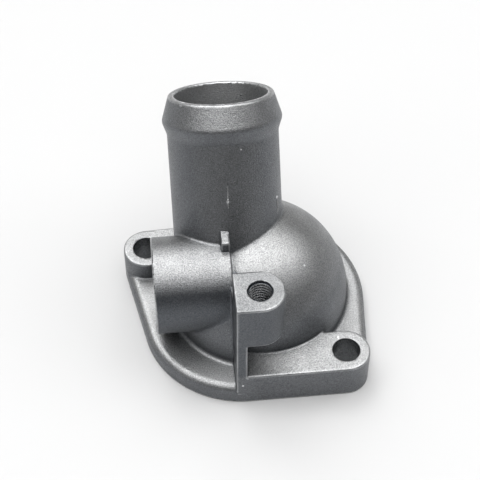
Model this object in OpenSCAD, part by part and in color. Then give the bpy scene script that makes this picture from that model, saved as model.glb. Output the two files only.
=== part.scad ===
// Housing for the thermostat of an engine's cooling circuit, cast in one piece of aluminium.
// A two-bolt flange carries a dome over the valve. A hose neck leans back out of the dome,
// a sensor stub leaves it sideways, and a tapped boss stands on a rib at the front edge.
// Millimetres. Z = 0 is the gasket face, Z runs up along the dome's axis,
// and X runs along the straight front edge of the flange.

/* [Flange] */
// Pitch circle of the two bolts, about the dome's axis
bolt_pcd = 81.6; // [78:0.2:90]
// Direction of the front bolt from the dome's axis, in degrees from X
bolt_front_angle = -50.4; // [-56:0.2:-45]
// Direction of the rear bolt from the dome's axis, in degrees from X
bolt_rear_angle = 154.4; // [150:0.2:160]
// Clearance hole for each bolt
bolt_hole_d = 9; // [6.6:0.1:10.5]
// Round end of the flange about each bolt hole
ear_d = 15.8; // [14:0.2:19]
// Height of the raised pads under the bolt heads
pad_h = 14.2; // [10:0.2:18]
// Thickness of the flange between the pads
plate_h = 7.2; // [5.5:0.1:9]
// Rounding of the flange's upper edge
plate_round = 2.2; // [0.8:0.1:3]
// Radius of the flange's round front left side
lobe_r = 33.3; // [32:0.1:36]
// Centre of that round side, along X
lobe_x = -6.2; // [-9:0.1:-4]
// Width of the flange outside the dome
rim_w = 6.3; // [4.5:0.1:9]

/* [Dome] */
// Outer diameter of the dome
dome_d = 60.8; // [57:0.2:64]
// Height of the dome's straight wall, up to the centre of its round top
dome_wall_h = 11; // [9.6:0.1:14]
// Wall thickness of the dome
dome_wall = 3.2; // [2.4:0.1:4.5]
// Fillet between the dome and the flange
foot_fillet = 1.8; // [0.6:0.1:2.2]

/* [Seat] */
// Diameter of the recess that holds the valve's rim
seat_d = 58; // [56.4:0.2:60]
// Depth of that recess
seat_depth = 3.2; // [2:0.1:4.5]

/* [Hose neck] */
// Outer diameter of the neck
neck_d = 36.5; // [32:0.1:39]
// Wall thickness of the neck
neck_wall = 2.95; // [2.2:0.05:4]
// Lean of the neck from upright, towards the rear
neck_tilt = 31.3; // [24:0.1:38]
// Place of the neck's axis at the dome's centre height, along X
neck_x = -9; // [-11:0.1:-5]
// Place of the neck's axis at the dome's centre height, along Y
neck_y = -3.6; // [-6:0.1:0]
// Length of the neck's axis from the dome's centre height to the rim
neck_len = 70.7; // [64:0.1:84]
// Outer diameter of the rim
rim_d = 34.3; // [33.4:0.1:36]
// Largest diameter of the bead that holds the hose
bead_d = 39.1; // [37.5:0.1:42]
// Distance of the bead's crest below the rim
bead_crest = 8.2; // [6:0.1:10]
// Length of the bead below the rim
bead_len = 12.4; // [11.4:0.1:16]
// Rounding of the bead's crest
bead_round = 2.6; // [1:0.1:4]

/* [Sensor stub] */
// Outer diameter of the stub
stub_d = 31.8; // [28:0.1:33]
// Height of the stub's axis above the gasket face
stub_z = 25.7; // [24.5:0.1:28]
// Place of the stub's axis in front of the dome's axis
stub_y = -8; // [-10:0.1:-6]
// Reach of the stub from the dome's axis
stub_reach = 35.2; // [33:0.1:42]
// Inner end of the stub's round body, beside the dome's crown
stub_root = 9.9; // [8:0.1:12]
// Drilled diameter for the sensor's thread
sensor_d = 20.4; // [12:0.1:22]
// Depth of the sensor's hole
sensor_depth = 19.2; // [16:0.1:24]
// Chamfer at the mouth of the sensor's hole
sensor_chamfer = 1; // [0.4:0.1:1.6]

/* [Bracket boss] */
// Diameter of the boss
boss_d = 15.4; // [13:0.1:18]
// Place of the boss along X
boss_x = -2.7; // [-5:0.1:0]
// Height of the boss's face above the gasket face
boss_top = 49.9; // [46:0.1:54]
// Height of the boss's underside above the gasket face
boss_low = 31.2; // [29:0.1:32.6]
// Drilled diameter for the boss's thread
tap_d = 6.8; // [5:0.1:8.5]
// Outer diameter of the boss's thread, which its chamfer reaches
tap_major_d = 8; // [6:0.5:10]
// Depth of the tapped hole
tap_depth = 15.5; // [10:0.1:16]
// Height of the web that joins the boss to the dome
saddle_h = 5.4; // [4:0.1:6]
// Reach of that web past the boss's axis, along X
saddle_w = 4; // [2:0.1:6]

/* [Rib and lug] */
// Left face of the rib and the boss, along X
rib_x = -10.7; // [-12.5:0.1:-10]
// Thickness of the rib
rib_t = 3.5; // [2.4:0.1:5]
// Width of the small lug between the neck and the stub
lug_w = 2.8; // [2:0.1:4.5]
// Height of the lug above the stub
lug_h = 4.1; // [2.5:0.1:5.5]
// Lead of the lug in front of the stub's axis
lug_lead = 0.9; // [0.4:0.1:2.5]

/* [Hidden] */
$fn = 96;
// Length by which a cut runs past the face it leaves
over = 1;
// Step by which the flange's straight edges lie inside the rounds they join
edge_step = 0.3;
// Share of a rounding's radius at which it meets its two faces
round_share = 0.97;
// Length by which the bead's back runs on into the neck's wall
bead_root = 1;
// Share of the rounding's radius that the straight edges are bevelled by
bevel_share = 0.6;
// Angle by which the flange's round edges run on behind the straight ones
sector_lap = 20;
metal = [0.60, 0.61, 0.62];

ear_r = ear_d / 2;
dome_r = dome_d / 2;
neck_r = neck_d / 2;
stub_r = stub_d / 2;
boss_r = boss_d / 2;
cavity_r = dome_r - dome_wall;
collar_r = dome_r + rim_w;

// Places in plan
bolt_front = bolt_pcd / 2 * [cos(bolt_front_angle), sin(bolt_front_angle)];
bolt_rear = bolt_pcd / 2 * [cos(bolt_rear_angle), sin(bolt_rear_angle)];
front_y = bolt_front.y - ear_r;
lobe = [lobe_x, front_y + lobe_r];
dome_axis = [0, 0];
boss_y = front_y + boss_r;
boss_back = boss_y + boss_r;
boss_h = boss_top - boss_low;
rib_mid = rib_x + rib_t / 2;

// Places along the hose neck, measured from the dome's centre height
neck_start = 10;
bore_start = 8;
// Place of the boss's web inside the dome's wall
saddle_top = boss_low + saddle_h;
saddle_back = -sqrt(pow((dome_r + cavity_r) / 2, 2) - pow(saddle_top - dome_wall_h, 2)) + dome_wall;

// Outward normal of the line that touches two circles on the right of the way from a to b
function touch_normal(a, ra, b, rb) =
    let (u = (b - a) / norm(b - a), k = (ra - rb) / norm(b - a), s = sqrt(1 - k * k))
    [k * u.x + s * u.y, k * u.y - s * u.x];

// Direction of a vector in plan, in degrees from X
function bearing(v) = atan2(v.y, v.x);

// Half section of the flange at a round edge, with its rounded upper corner
module round_section(r) {
    inset = round_share * plate_round;
    square([r, plate_h - inset]);
    square([r - inset, plate_h]);
    intersection() {
        translate([r - inset, plate_h - inset]) circle(plate_round);
        square([r, plate_h]);
    }
}

// Sector of the flange about a circle's centre, from one bearing to another
module round_edge(at, r, from, to) {
    wide = [for (part = [0 : 1 / 3 : 1]) from + part * (to - from)];
    intersection() {
        translate([at.x, at.y, 0]) rotate_extrude() round_section(r);
        translate([0, 0, -over]) linear_extrude(plate_h + 2 * over)
            polygon([at, for (turn = wide) at + 2 * r * [cos(turn), sin(turn)]]);
    }
}

// Straight edge of the flange from circle a to circle b, bevelled, with the plate behind it
module straight_edge(a, ra, b, rb) {
    n = touch_normal(a, ra, b, rb);
    from = a + (ra - edge_step) * n;
    to = b + (rb - edge_step) * n;
    run = to - from;
    bevel = bevel_share * plate_round;
    difference() {
        linear_extrude(plate_h) polygon([a, from, to, b]);
        translate([from.x, from.y, plate_h]) rotate([0, 0, bearing(run)]) rotate([90, 0, 90])
            translate([0, 0, -over]) linear_extrude(norm(run) + 2 * over)
                polygon([[-over, -bevel - over], [bevel + over, over], [-over, over]]);
    }
}

// Flange with its rounded upper edge
module flange() {
    left = bearing(touch_normal(bolt_rear, ear_r, lobe, lobe_r));
    right = bearing(touch_normal(bolt_front, ear_r, dome_axis, collar_r));
    front = -90 - asin((lobe.x - rib_mid) / lobe_r);
    round_edge(lobe, lobe_r, left - sector_lap, front);
    round_edge(dome_axis, collar_r, right - sector_lap, bolt_rear_angle);
    straight_edge(bolt_front, ear_r, dome_axis, collar_r);
    straight_edge(bolt_rear, ear_r, lobe, lobe_r);
    translate([lobe.x, lobe.y, 0]) cylinder(h = plate_h, r = lobe_r - 2 * plate_round);
    cylinder(h = plate_h, r = collar_r - 2 * plate_round);
    pad(bolt_front, [-1, 0], bolt_front.x - rib_mid);
    pad(bolt_rear, rear_way(), norm(bolt_rear) - cavity_r / 2);
}

// Direction of the rear edge, from the rear bolt towards the dome
function rear_way() =
    let (n = touch_normal(lobe, lobe_r, bolt_rear, ear_r))
    [n.y, -n.x];

// Raised pad round a bolt hole, with a straight stretch along the flange's edge
module pad(at, way, len) {
    translate([at.x, at.y, 0]) rotate([0, 0, bearing(way)]) linear_extrude(pad_h) {
        circle(ear_r);
        translate([0, -ear_r]) square([len, ear_d]);
    }
}

// Dome with its foot fillet
module dome() {
    foot_reach = round_share * foot_fillet;
    rotate_extrude() {
        square([dome_r, dome_wall_h]);
        intersection() {
            translate([0, dome_wall_h]) circle(dome_r);
            translate([0, dome_wall_h]) square(dome_r);
        }
        difference() {
            translate([dome_r, 0]) square([foot_reach, plate_h + foot_reach]);
            translate([dome_r + foot_reach, plate_h + foot_reach]) circle(foot_fillet);
        }
    }
}

// Frame of the hose neck: Z along its axis, from the dome's centre height
module neck_frame() {
    translate([neck_x, neck_y, dome_wall_h]) rotate([-neck_tilt, 0, 0]) children();
}

// Hose neck with the bead below its rim
module neck() {
    neck_frame() {
        translate([0, 0, neck_start]) cylinder(h = neck_len - bead_crest - neck_start, r = neck_r);
        translate([0, 0, neck_len]) rotate_extrude() bead_section();
    }
}

// Half section of the bead: a lead-in cone, a rounded crest and a short way back to the neck
module bead_section() {
    crest = [bead_d / 2 - bead_round, -bead_crest];
    lead = crest + bead_touch * [cos(lead_angle()), sin(lead_angle())];
    back = crest + bead_touch * [cos(back_angle()), -sin(back_angle())];
    foot = [neck_r, -bead_len];
    root = foot + bead_root * (foot - back) / norm(foot - back);
    polygon([[0, 0], [rim_d / 2, 0], lead, crest, back, root, [0, root.y]]);
    translate(crest) circle(bead_round);
}

// Direction in which a line from a point at (x, y) off the crest's centre runs into the crest
bead_touch = round_share * bead_round;
function touch_angle(x, y) = atan2(y, x) - acos(bead_touch / norm([x, y]));
function lead_angle() = touch_angle(rim_d / 2 - bead_d / 2 + bead_round, bead_crest);
function back_angle() = touch_angle(neck_r - bead_d / 2 + bead_round, bead_len - bead_crest);

// Round body of the sensor stub
module stub() {
    translate([-stub_reach, stub_y, stub_z]) rotate([0, 90, 0])
        cylinder(h = stub_reach - stub_root, r = stub_r);
}

// Small lug on the stub's crest, in front of the neck
module lug() {
    lug_top = stub_z + stub_r + lug_h;
    lug_front = stub_y - lug_lead;
    neck_front = neck_y + (lug_top - dome_wall_h) * tan(neck_tilt) - neck_r / cos(neck_tilt);
    translate([-stub_root - lug_w, lug_front, stub_z])
        cube([lug_w, neck_front + neck_wall - lug_front, lug_top - stub_z]);
}

// Boss for a bracket's screw, with its flat left side and its web to the dome
module boss() {
    translate([boss_x, boss_y, boss_low]) cylinder(h = boss_h, r = boss_r);
    translate([rib_x, front_y, boss_low]) cube([boss_x - rib_x, boss_d, boss_h]);
    translate([rib_x, boss_y, boss_low])
        cube([boss_x + saddle_w - rib_x, saddle_back - boss_y, saddle_h]);
}

// Rib that carries the boss from the flange
module rib() {
    translate([rib_x, front_y, 0]) cube([rib_t, saddle_back - front_y, saddle_top]);
}

// Room for the valve, open at the gasket face
module cavity() {
    rotate_extrude() {
        translate([0, -over]) square([cavity_r, dome_wall_h + over]);
        translate([0, -over]) square([seat_d / 2, seat_depth + over]);
        intersection() {
            translate([0, dome_wall_h]) circle(cavity_r);
            translate([0, dome_wall_h]) square(cavity_r);
        }
    }
}

// Bore of the hose neck, from the rim into the dome
module neck_bore() {
    neck_frame() translate([0, 0, bore_start])
        cylinder(h = neck_len - bore_start + over, r = neck_r - neck_wall);
}

// Drilled hole for the sensor, with its chamfer
module sensor_hole() {
    translate([-stub_reach, stub_y, stub_z]) rotate([0, 90, 0]) {
        translate([0, 0, -over]) cylinder(h = sensor_depth + over, d = sensor_d);
        translate([0, 0, -over])
            cylinder(h = sensor_chamfer + over, r1 = sensor_d / 2 + sensor_chamfer + over, r2 = sensor_d / 2);
    }
}

// Blind hole for the bracket's screw, with its chamfer
module tapped_hole() {
    lead = (tap_major_d - tap_d) / 2;
    translate([boss_x, boss_y, boss_top]) {
        translate([0, 0, -tap_depth]) cylinder(h = tap_depth + over, d = tap_d);
        translate([0, 0, -lead]) cylinder(h = lead + over, r1 = tap_d / 2, r2 = tap_major_d / 2 + over);
    }
}

// Through holes for the two flange bolts
module bolt_holes() {
    for (at = [bolt_front, bolt_rear])
        translate([at.x, at.y, -over]) cylinder(h = pad_h + 2 * over, d = bolt_hole_d);
}

// The whole casting
module housing() {
    color(metal) difference() {
        union() {
            flange();
            dome();
            neck();
            stub();
            lug();
            boss();
            rib();
        }
        cavity();
        neck_bore();
        sensor_hole();
        tapped_hole();
        bolt_holes();
    }
}

housing();
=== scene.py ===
"""Looks of a cast aluminium housing for the valve of an engine's cooling circuit.

The casting is drawn as a field of distances, in which every part of it is a
solid with its real sizes. Joining the solids with fillets and cutting the
hollows with softened edges gives the form that leaves a die, and the surface
of the field becomes one closed mesh. Screw threads and the fine lines of the
die are made with geometry nodes. Sizes are in millimetres until a mesh is
written, which is in metres like the frame.
"""

import logging
import math
from dataclasses import dataclass, field
from enum import Enum
from typing import Any, Dict, List, Optional, Sequence, Tuple, Union

import bpy
import numpy as np
from mathutils import Matrix, Vector


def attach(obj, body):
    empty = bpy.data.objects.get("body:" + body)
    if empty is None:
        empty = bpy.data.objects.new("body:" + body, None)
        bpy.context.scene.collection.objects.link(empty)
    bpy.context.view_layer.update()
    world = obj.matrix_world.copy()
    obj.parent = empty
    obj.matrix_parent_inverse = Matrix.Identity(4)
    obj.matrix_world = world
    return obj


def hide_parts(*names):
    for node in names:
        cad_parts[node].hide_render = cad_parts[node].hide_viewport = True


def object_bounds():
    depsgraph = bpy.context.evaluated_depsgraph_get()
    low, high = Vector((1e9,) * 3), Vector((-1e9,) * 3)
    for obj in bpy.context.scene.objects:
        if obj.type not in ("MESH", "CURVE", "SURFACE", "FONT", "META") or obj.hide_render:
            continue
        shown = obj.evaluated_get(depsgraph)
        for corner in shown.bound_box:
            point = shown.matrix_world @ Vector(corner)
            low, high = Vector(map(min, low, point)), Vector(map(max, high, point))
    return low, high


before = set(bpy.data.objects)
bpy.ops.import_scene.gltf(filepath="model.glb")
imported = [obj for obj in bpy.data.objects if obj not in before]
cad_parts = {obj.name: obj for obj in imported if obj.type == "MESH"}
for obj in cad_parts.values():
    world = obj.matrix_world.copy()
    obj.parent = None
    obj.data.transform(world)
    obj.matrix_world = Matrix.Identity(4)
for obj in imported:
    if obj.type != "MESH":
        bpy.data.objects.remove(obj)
CAD_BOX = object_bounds()

LOG = logging.getLogger("housing")
MM = 0.001
ROOT = "root"
CAD_NODE = "housing"

Field = np.ndarray
Spot = Tuple[float, float]
Span = Tuple[float, float]
Place = Tuple[float, float, float]
Colour = Tuple[float, float, float, float]
Socket = bpy.types.NodeSocket
Outputs = bpy.types.NodeOutputs
Value = Union[float, Colour, Socket]
Inputs = Dict[Union[int, str], Any]


# Joining and cutting of solids


def round_join(a: Field, b: Field, radius: float) -> Field:
    """Joins two solids with a fillet in the corner between them.

    Args:
        a: Distances to the first solid.
        b: Distances to the second solid.
        radius: Radius of the fillet.

    Returns:
        Distances to the joined solid.
    """
    reach = np.hypot(np.maximum(radius - a, 0.0), np.maximum(radius - b, 0.0))
    return np.maximum(np.minimum(a, b), radius) - reach


def round_meet(a: Field, b: Field, radius: float) -> Field:
    """Keeps what two solids share, with a rounded edge between their faces."""
    return -round_join(-a, -b, radius)


def between(value: Field, low: float, high: float) -> Field:
    """Gives distances to the layer between two parallel planes."""
    return np.maximum(low - value, value - high)


def drilled(off: Field, depth: Field, radius: float, length: float, chamfer: float) -> Field:
    """Gives distances to a drilled hole with a chamfer at its mouth.

    Args:
        off: Distances from the hole's axis.
        depth: Depths below its mouth.
        radius: Radius of the hole.
        length: Depth of its floor.
        chamfer: Width of the chamfer.

    Returns:
        Distances to the hole, negative inside it.
    """
    hole = np.maximum(off - radius, depth - length)
    cone = (off - radius - chamfer + depth) * math.sqrt(0.5)
    return np.minimum(hole, np.maximum(cone, depth - chamfer))


def twin_circles(x: Field, y: Field, a: Spot, ra: float, b: Spot, rb: float) -> Field:
    """Gives plan distances to two circles and the straight edges that touch both.

    Args:
        x: Places along X.
        y: Places along Y.
        a: Centre of the first circle.
        ra: Radius of the first circle.
        b: Centre of the second circle.
        rb: Radius of the second circle.

    Returns:
        Distances to the outline, negative inside it.
    """
    span = math.dist(a, b)
    ux, uy = (b[0] - a[0]) / span, (b[1] - a[1]) / span
    along = (x - a[0]) * ux + (y - a[1]) * uy
    across = np.abs((x - a[0]) * uy - (y - a[1]) * ux)
    lean = (ra - rb) / span
    rise = math.sqrt(1.0 - lean * lean)
    where = along * rise - across * lean
    near = np.hypot(across, along) - ra
    far = np.hypot(across, along - span) - rb
    side = across * rise + along * lean - ra
    return np.where(where < 0.0, near, np.where(where > rise * span, far, side))


def brick(p: "Points", low: Place, high: Place, edge: float) -> Field:
    """Gives distances to a block with rounded edges.

    Args:
        p: Places to measure from.
        low: Lowest corner of the block.
        high: Highest corner of the block.
        edge: Radius of its edges.

    Returns:
        Distances to the block.
    """
    q = [
        np.abs(v - (lo + hi) / 2) - (hi - lo) / 2 + edge
        for v, lo, hi in zip((p.x, p.y, p.z), low, high)
    ]
    outside = np.sqrt(sum(np.maximum(v, 0.0) ** 2 for v in q))
    return outside + np.minimum(np.maximum(np.maximum(q[0], q[1]), q[2]), 0.0) - edge


@dataclass(frozen=True)
class Points:
    """Places in the part's frame, in millimetres."""

    x: Field
    y: Field
    z: Field

    @staticmethod
    def of(rows: np.ndarray) -> "Points":
        """Splits rows of three numbers into their axes."""
        return Points(rows[:, 0], rows[:, 1], rows[:, 2])


# Sub-assemblies of the casting


@dataclass(frozen=True)
class Flange:
    """Two-bolt flange with raised pads and a softly rounded upper edge."""

    bolt_pcd: float = 81.6
    bolt_front_angle: float = -50.4
    bolt_rear_angle: float = 154.4
    bolt_hole_d: float = 9.0
    ear_d: float = 15.8
    pad_h: float = 14.2
    pad_edge: float = 0.75
    pad_foot: float = 0.7
    plate_h: float = 7.2
    plate_round: float = 2.9
    lobe_r: float = 33.3
    lobe_x: float = -6.2
    collar_r: float = 36.7
    pad_stop: float = -7.4
    rear_run: float = 19.0

    def bolt(self, angle: float) -> Spot:
        """Gives the place of a bolt on the pitch circle."""
        turn = math.radians(angle)
        return self.bolt_pcd / 2 * math.cos(turn), self.bolt_pcd / 2 * math.sin(turn)

    @property
    def ear(self) -> float:
        """Radius of the round ends at the bolts."""
        return self.ear_d / 2

    @property
    def front(self) -> Spot:
        """Place of the front bolt."""
        return self.bolt(self.bolt_front_angle)

    @property
    def rear(self) -> Spot:
        """Place of the rear bolt."""
        return self.bolt(self.bolt_rear_angle)

    @property
    def front_y(self) -> float:
        """Place of the straight front edge."""
        return self.front[1] - self.ear

    @property
    def lobe(self) -> Spot:
        """Centre of the round front left side."""
        return self.lobe_x, self.front_y + self.lobe_r

    def rear_way(self) -> Spot:
        """Gives the direction of the rear edge, from the rear bolt to the dome.

        Returns:
            The direction in plan.
        """
        ax, ay = self.lobe
        bx, by = self.rear
        span = math.dist(self.lobe, self.rear)
        ux, uy = (bx - ax) / span, (by - ay) / span
        lean = (self.lobe_r - self.ear) / span
        rise = math.sqrt(1.0 - lean * lean)
        normal = lean * ux + rise * uy, lean * uy - rise * ux
        return normal[1], -normal[0]

    def plate_plan(self, p: Points) -> Field:
        """Gives plan distances to the plate's outline.

        Args:
            p: Places to measure from.

        Returns:
            Distances, negative inside the outline.
        """
        left = twin_circles(p.x, p.y, self.lobe, self.lobe_r, self.rear, self.ear)
        right = twin_circles(p.x, p.y, (0.0, 0.0), self.collar_r, self.front, self.ear)
        return np.minimum(left, right)

    def pad_plan(self, p: Points) -> Field:
        """Gives plan distances to the outlines of the raised pads.

        Args:
            p: Places to measure from.

        Returns:
            Distances, negative inside a pad.
        """
        ear = self.ear
        way = self.rear_way()
        rear_end = (
            self.rear[0] + self.rear_run * way[0],
            self.rear[1] + self.rear_run * way[1],
        )
        rear = twin_circles(p.x, p.y, self.rear, ear, rear_end, ear)
        front_end = self.pad_stop - self.ear_d, self.front[1]
        front = twin_circles(p.x, p.y, self.front, ear, front_end, ear)
        return np.minimum(rear, np.maximum(front, self.pad_stop - p.x))

    def solid(self, p: Points, dome: Field, fillet: float) -> Field:
        """Gives distances to the flange with the dome on it.

        Args:
            p: Places to measure from.
            dome: Distances to the dome.
            fillet: Radius of the fillet at the dome's foot.

        Returns:
            Distances to the flange, its pads and the dome.
        """
        plan, raised = self.plate_plan(p), self.pad_plan(p)
        plate = round_meet(plan, p.z - self.plate_h, self.plate_round)
        pads = round_meet(raised, p.z - self.pad_h, self.pad_edge)
        body = round_join(round_join(plate, dome, fillet), pads, self.pad_foot)
        return np.maximum(body, np.minimum(np.minimum(plan, raised), dome))

    def hollow(self, p: Points) -> Field:
        """Gives distances to the two bolt holes."""
        holes = [np.hypot(p.x - x, p.y - y) for x, y in (self.front, self.rear)]
        return np.minimum(holes[0], holes[1]) - self.bolt_hole_d / 2


@dataclass(frozen=True)
class Dome:
    """Round room over the valve, with the recess for the valve's rim."""

    outer_d: float = 60.8
    wall_h: float = 11.0
    wall: float = 3.2
    foot_fillet: float = 1.7
    seat_d: float = 58.0
    seat_depth: float = 3.2

    def bell(self, p: Points, radius: float) -> Field:
        """Gives distances to an upright cylinder with a round top."""
        lift = np.maximum(p.z - self.wall_h, 0.0)
        return np.sqrt(p.x**2 + p.y**2 + lift**2) - radius

    def solid(self, p: Points) -> Field:
        """Gives distances to the dome's outside."""
        return self.bell(p, self.outer_d / 2)

    def hollow(self, p: Points) -> Field:
        """Gives distances to the valve's room and the recess at its mouth."""
        seat = np.maximum(np.hypot(p.x, p.y) - self.seat_d / 2, p.z - self.seat_depth)
        return np.minimum(self.bell(p, self.outer_d / 2 - self.wall), seat)


@dataclass(frozen=True)
class HoseNeck:
    """Leaning hose neck with a bead below its rim."""

    outer_d: float = 36.5
    wall: float = 2.95
    tilt: float = 31.3
    x: float = -9.0
    y: float = -3.6
    z: float = 11.0
    length: float = 70.7
    rim_d: float = 34.3
    rim_edge: float = 0.55
    bead_d: float = 39.1
    bead_crest: float = 8.2
    bead_len: float = 12.4
    bead_round: float = 2.9
    back_fillet: float = 0.3
    run_on: float = 0.8
    start: float = 10.0
    bore_start: float = 8.0
    stub_fillet: float = 0.7
    profile_past: float = 6.0
    profile_steps: int = 400

    @property
    def axis(self) -> Place:
        """Direction of the neck, from the dome to the rim."""
        turn = math.radians(self.tilt)
        return 0.0, math.sin(turn), math.cos(turn)

    def place(self, height: float, turn: float, radius: float) -> Vector:
        """Gives a place on the neck.

        Args:
            height: Distance along the axis.
            turn: Degrees round the axis, 0 at the front and growing to the right.
            radius: Distance from the axis.

        Returns:
            The place in the part's frame.
        """
        axis = Vector(self.axis)
        front = Vector((0.0, -axis.z, axis.y))
        angle = math.radians(turn)
        out = front * math.cos(angle) + Vector((1.0, 0.0, 0.0)) * math.sin(angle)
        return Vector((self.x, self.y, self.z)) + axis * height + out * radius

    def measure(self, p: Points) -> Tuple[Field, Field]:
        """Gives each place's height along the neck and distance from its axis.

        Args:
            p: Places to measure from.

        Returns:
            Heights and distances.
        """
        _, ay, az = self.axis
        dx, dy, dz = p.x - self.x, p.y - self.y, p.z - self.z
        along = dy * ay + dz * az
        return along, np.hypot(dx, dy * az - dz * ay)

    def profile(self) -> Tuple[Field, Field]:
        """Draws the bead's half section from the rim down.

        Returns:
            Depths below the rim, and the radius at each depth.
        """
        centre = self.bead_d / 2 - self.bead_round
        depth = np.linspace(0.0, self.bead_len + self.profile_past, self.profile_steps)
        crest_gap = np.clip((depth - self.bead_crest) / self.bead_round, -1.0, 1.0)
        crest = centre + self.bead_round * np.sqrt(1.0 - crest_gap**2)
        crest[np.abs(depth - self.bead_crest) > self.bead_round] = 0.0
        lead = self.touching(depth, 0.0, self.rim_d / 2, centre)
        back = self.touching(depth, self.bead_len, self.outer_d / 2, centre)
        flank = np.where(depth < self.bead_crest, lead, back)
        bead = np.maximum(crest, flank)
        neck = np.full_like(depth, self.outer_d / 2)
        neck[depth < self.bead_crest] = 0.0
        # A parabola fills the corner behind the bead, a quarter of the fillet high at its middle.
        blend = np.maximum(self.back_fillet - np.abs(bead - neck), 0.0)
        return depth, np.maximum(bead, neck) + blend**2 / self.back_fillet / 4

    def touching(self, depth: Field, at: float, radius: float, centre: float) -> Field:
        """Draws the straight flank that runs from one point onto the round crest.

        Args:
            depth: Depths below the rim at which the flank is wanted.
            at: Depth of the flank's foot.
            radius: Radius of the flank's foot.
            centre: Radius of the crest's centre.

        Returns:
            The flank's radius at each depth, zero past the crest and well past its foot.
        """
        gap, rise = at - self.bead_crest, radius - centre
        reach = math.hypot(gap, rise)
        turn = math.acos(min(1.0, self.bead_round / reach))
        angle = math.atan2(rise, abs(gap)) + turn
        touch = self.bead_crest + math.copysign(self.bead_round * math.cos(angle), gap)
        level = centre + self.bead_round * math.sin(angle)
        share = (depth - at) / (touch - at)
        flank = radius + share * (level - radius)
        return np.where((share >= -self.run_on) & (share <= 1.0), flank, 0.0)

    def solid(self, p: Points) -> Field:
        """Gives distances to the neck's outside.

        Args:
            p: Places to measure from.

        Returns:
            Distances to the neck with its bead and rim.
        """
        along, off = self.measure(p)
        depth, radius = self.profile()
        below = self.length - along
        wall = np.interp(below, depth, radius)
        slope = np.interp(below, depth, np.gradient(radius, depth))
        side = (off - wall) / np.sqrt(1.0 + slope**2)
        return np.maximum(round_meet(side, -below, self.rim_edge), self.start - along)

    def hollow(self, p: Points) -> Field:
        """Gives distances to the neck's bore."""
        along, off = self.measure(p)
        return np.maximum(off - self.outer_d / 2 + self.wall, self.bore_start - along)


@dataclass(frozen=True)
class Tapping:
    """Sizes of the thread in a hole; it starts below the mouth and runs on from there."""

    minor_d: float
    pitch: float
    run: float
    start: float


@dataclass(frozen=True)
class SensorStub:
    """Sideways stub with a drilled port for a sensor, and the lug on its crest."""

    outer_d: float = 31.8
    z: float = 25.7
    y: float = -8.0
    reach: float = 35.2
    root: float = 9.9
    end_edge: float = 0.5
    dome_fillet: float = 0.9
    port_d: float = 22.0
    port_depth: float = 19.2
    port_chamfer: float = 1.0
    tapping: Tapping = Tapping(minor_d=20.4, pitch=1.5, run=16.8, start=1.2)
    lug_w: float = 2.8
    lug_h: float = 4.1
    lug_front: float = -8.9
    lug_back: float = 4.0
    lug_edge: float = 0.35

    def off(self, p: Points) -> Field:
        """Gives each place's distance from the stub's axis."""
        return np.hypot(p.y - self.y, p.z - self.z)

    def solid(self, p: Points) -> Field:
        """Gives distances to the stub's round body."""
        side = self.off(p) - self.outer_d / 2
        return round_meet(side, between(p.x, -self.reach, -self.root), self.end_edge)

    def lug(self, p: Points) -> Field:
        """Gives distances to the small lug between the stub and the neck.

        Args:
            p: Places to measure from.

        Returns:
            Distances to the lug.
        """
        top = self.z + self.outer_d / 2 + self.lug_h
        low = -self.root - self.lug_w, self.lug_front, self.z
        return brick(p, low, (-self.root, self.lug_back, top), self.lug_edge)

    def hollow(self, p: Points) -> Field:
        """Gives distances to the sensor's port with its chamfer."""
        depth = p.x + self.reach
        return drilled(self.off(p), depth, self.port_d / 2, self.port_depth, self.port_chamfer)


@dataclass(frozen=True)
class BracketBoss:
    """Tapped boss on a rib at the front edge, with its web to the dome."""

    outer_d: float = 15.4
    x: float = -2.7
    front_y: float = -39.337
    top: float = 49.9
    low: float = 31.2
    left: float = -10.7
    rib_t: float = 3.5
    rib_low: float = 4.6
    web_h: float = 5.4
    web_w: float = 4.0
    web_back: float = -13.0
    top_edge: float = 0.45
    corner: float = 0.5
    rib_edge: float = 0.35
    hole_d: float = 7.75
    hole_depth: float = 15.5
    hole_chamfer: float = 0.1
    tapping: Tapping = Tapping(minor_d=6.55, pitch=1.25, run=14.2, start=0.5)

    @property
    def y(self) -> float:
        """Place of the boss's axis."""
        return self.front_y + self.outer_d / 2

    @property
    def web_top(self) -> float:
        """Height of the web's upper face."""
        return self.low + self.web_h

    def off(self, p: Points) -> Field:
        """Gives each place's distance from the boss's axis."""
        return np.hypot(p.x - self.x, p.y - self.y)

    def solid(self, p: Points) -> Field:
        """Gives distances to the boss, its rib and its web.

        Args:
            p: Places to measure from.

        Returns:
            Distances to the three as one solid.
        """
        barrel = self.off(p) - self.outer_d / 2
        flank = round_meet(
            between(p.x, self.left, self.x),
            between(p.y, self.front_y, self.front_y + self.outer_d),
            self.corner,
        )
        plan = np.minimum(barrel, flank)
        boss = round_meet(plan, between(p.z, self.low, self.top), self.top_edge)
        web_low = self.left, self.y, self.low
        web_high = self.x + self.web_w, self.web_back, self.web_top
        web = brick(p, web_low, web_high, self.rib_edge)
        rib_low = self.left, self.front_y, self.rib_low
        rib_high = self.left + self.rib_t, self.web_back, self.web_top
        rib = brick(p, rib_low, rib_high, self.rib_edge)
        return np.minimum(np.minimum(boss, web), rib)

    def hollow(self, p: Points) -> Field:
        """Gives distances to the tapped hole at its thread's outer diameter."""
        depth = self.top - p.z
        return drilled(self.off(p), depth, self.hole_d / 2, self.hole_depth, self.hole_chamfer)


# Objects in the scene


def shown(name: str, data: bpy.types.ID) -> bpy.types.Object:
    """Puts a mesh, lamp or camera in the scene.

    Args:
        name: Name of the object.
        data: What the object shows.

    Returns:
        The object, at the origin.
    """
    made = bpy.data.objects.new(name, data)
    bpy.context.scene.collection.objects.link(made)
    return made


# Surface of a field as a closed mesh


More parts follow.
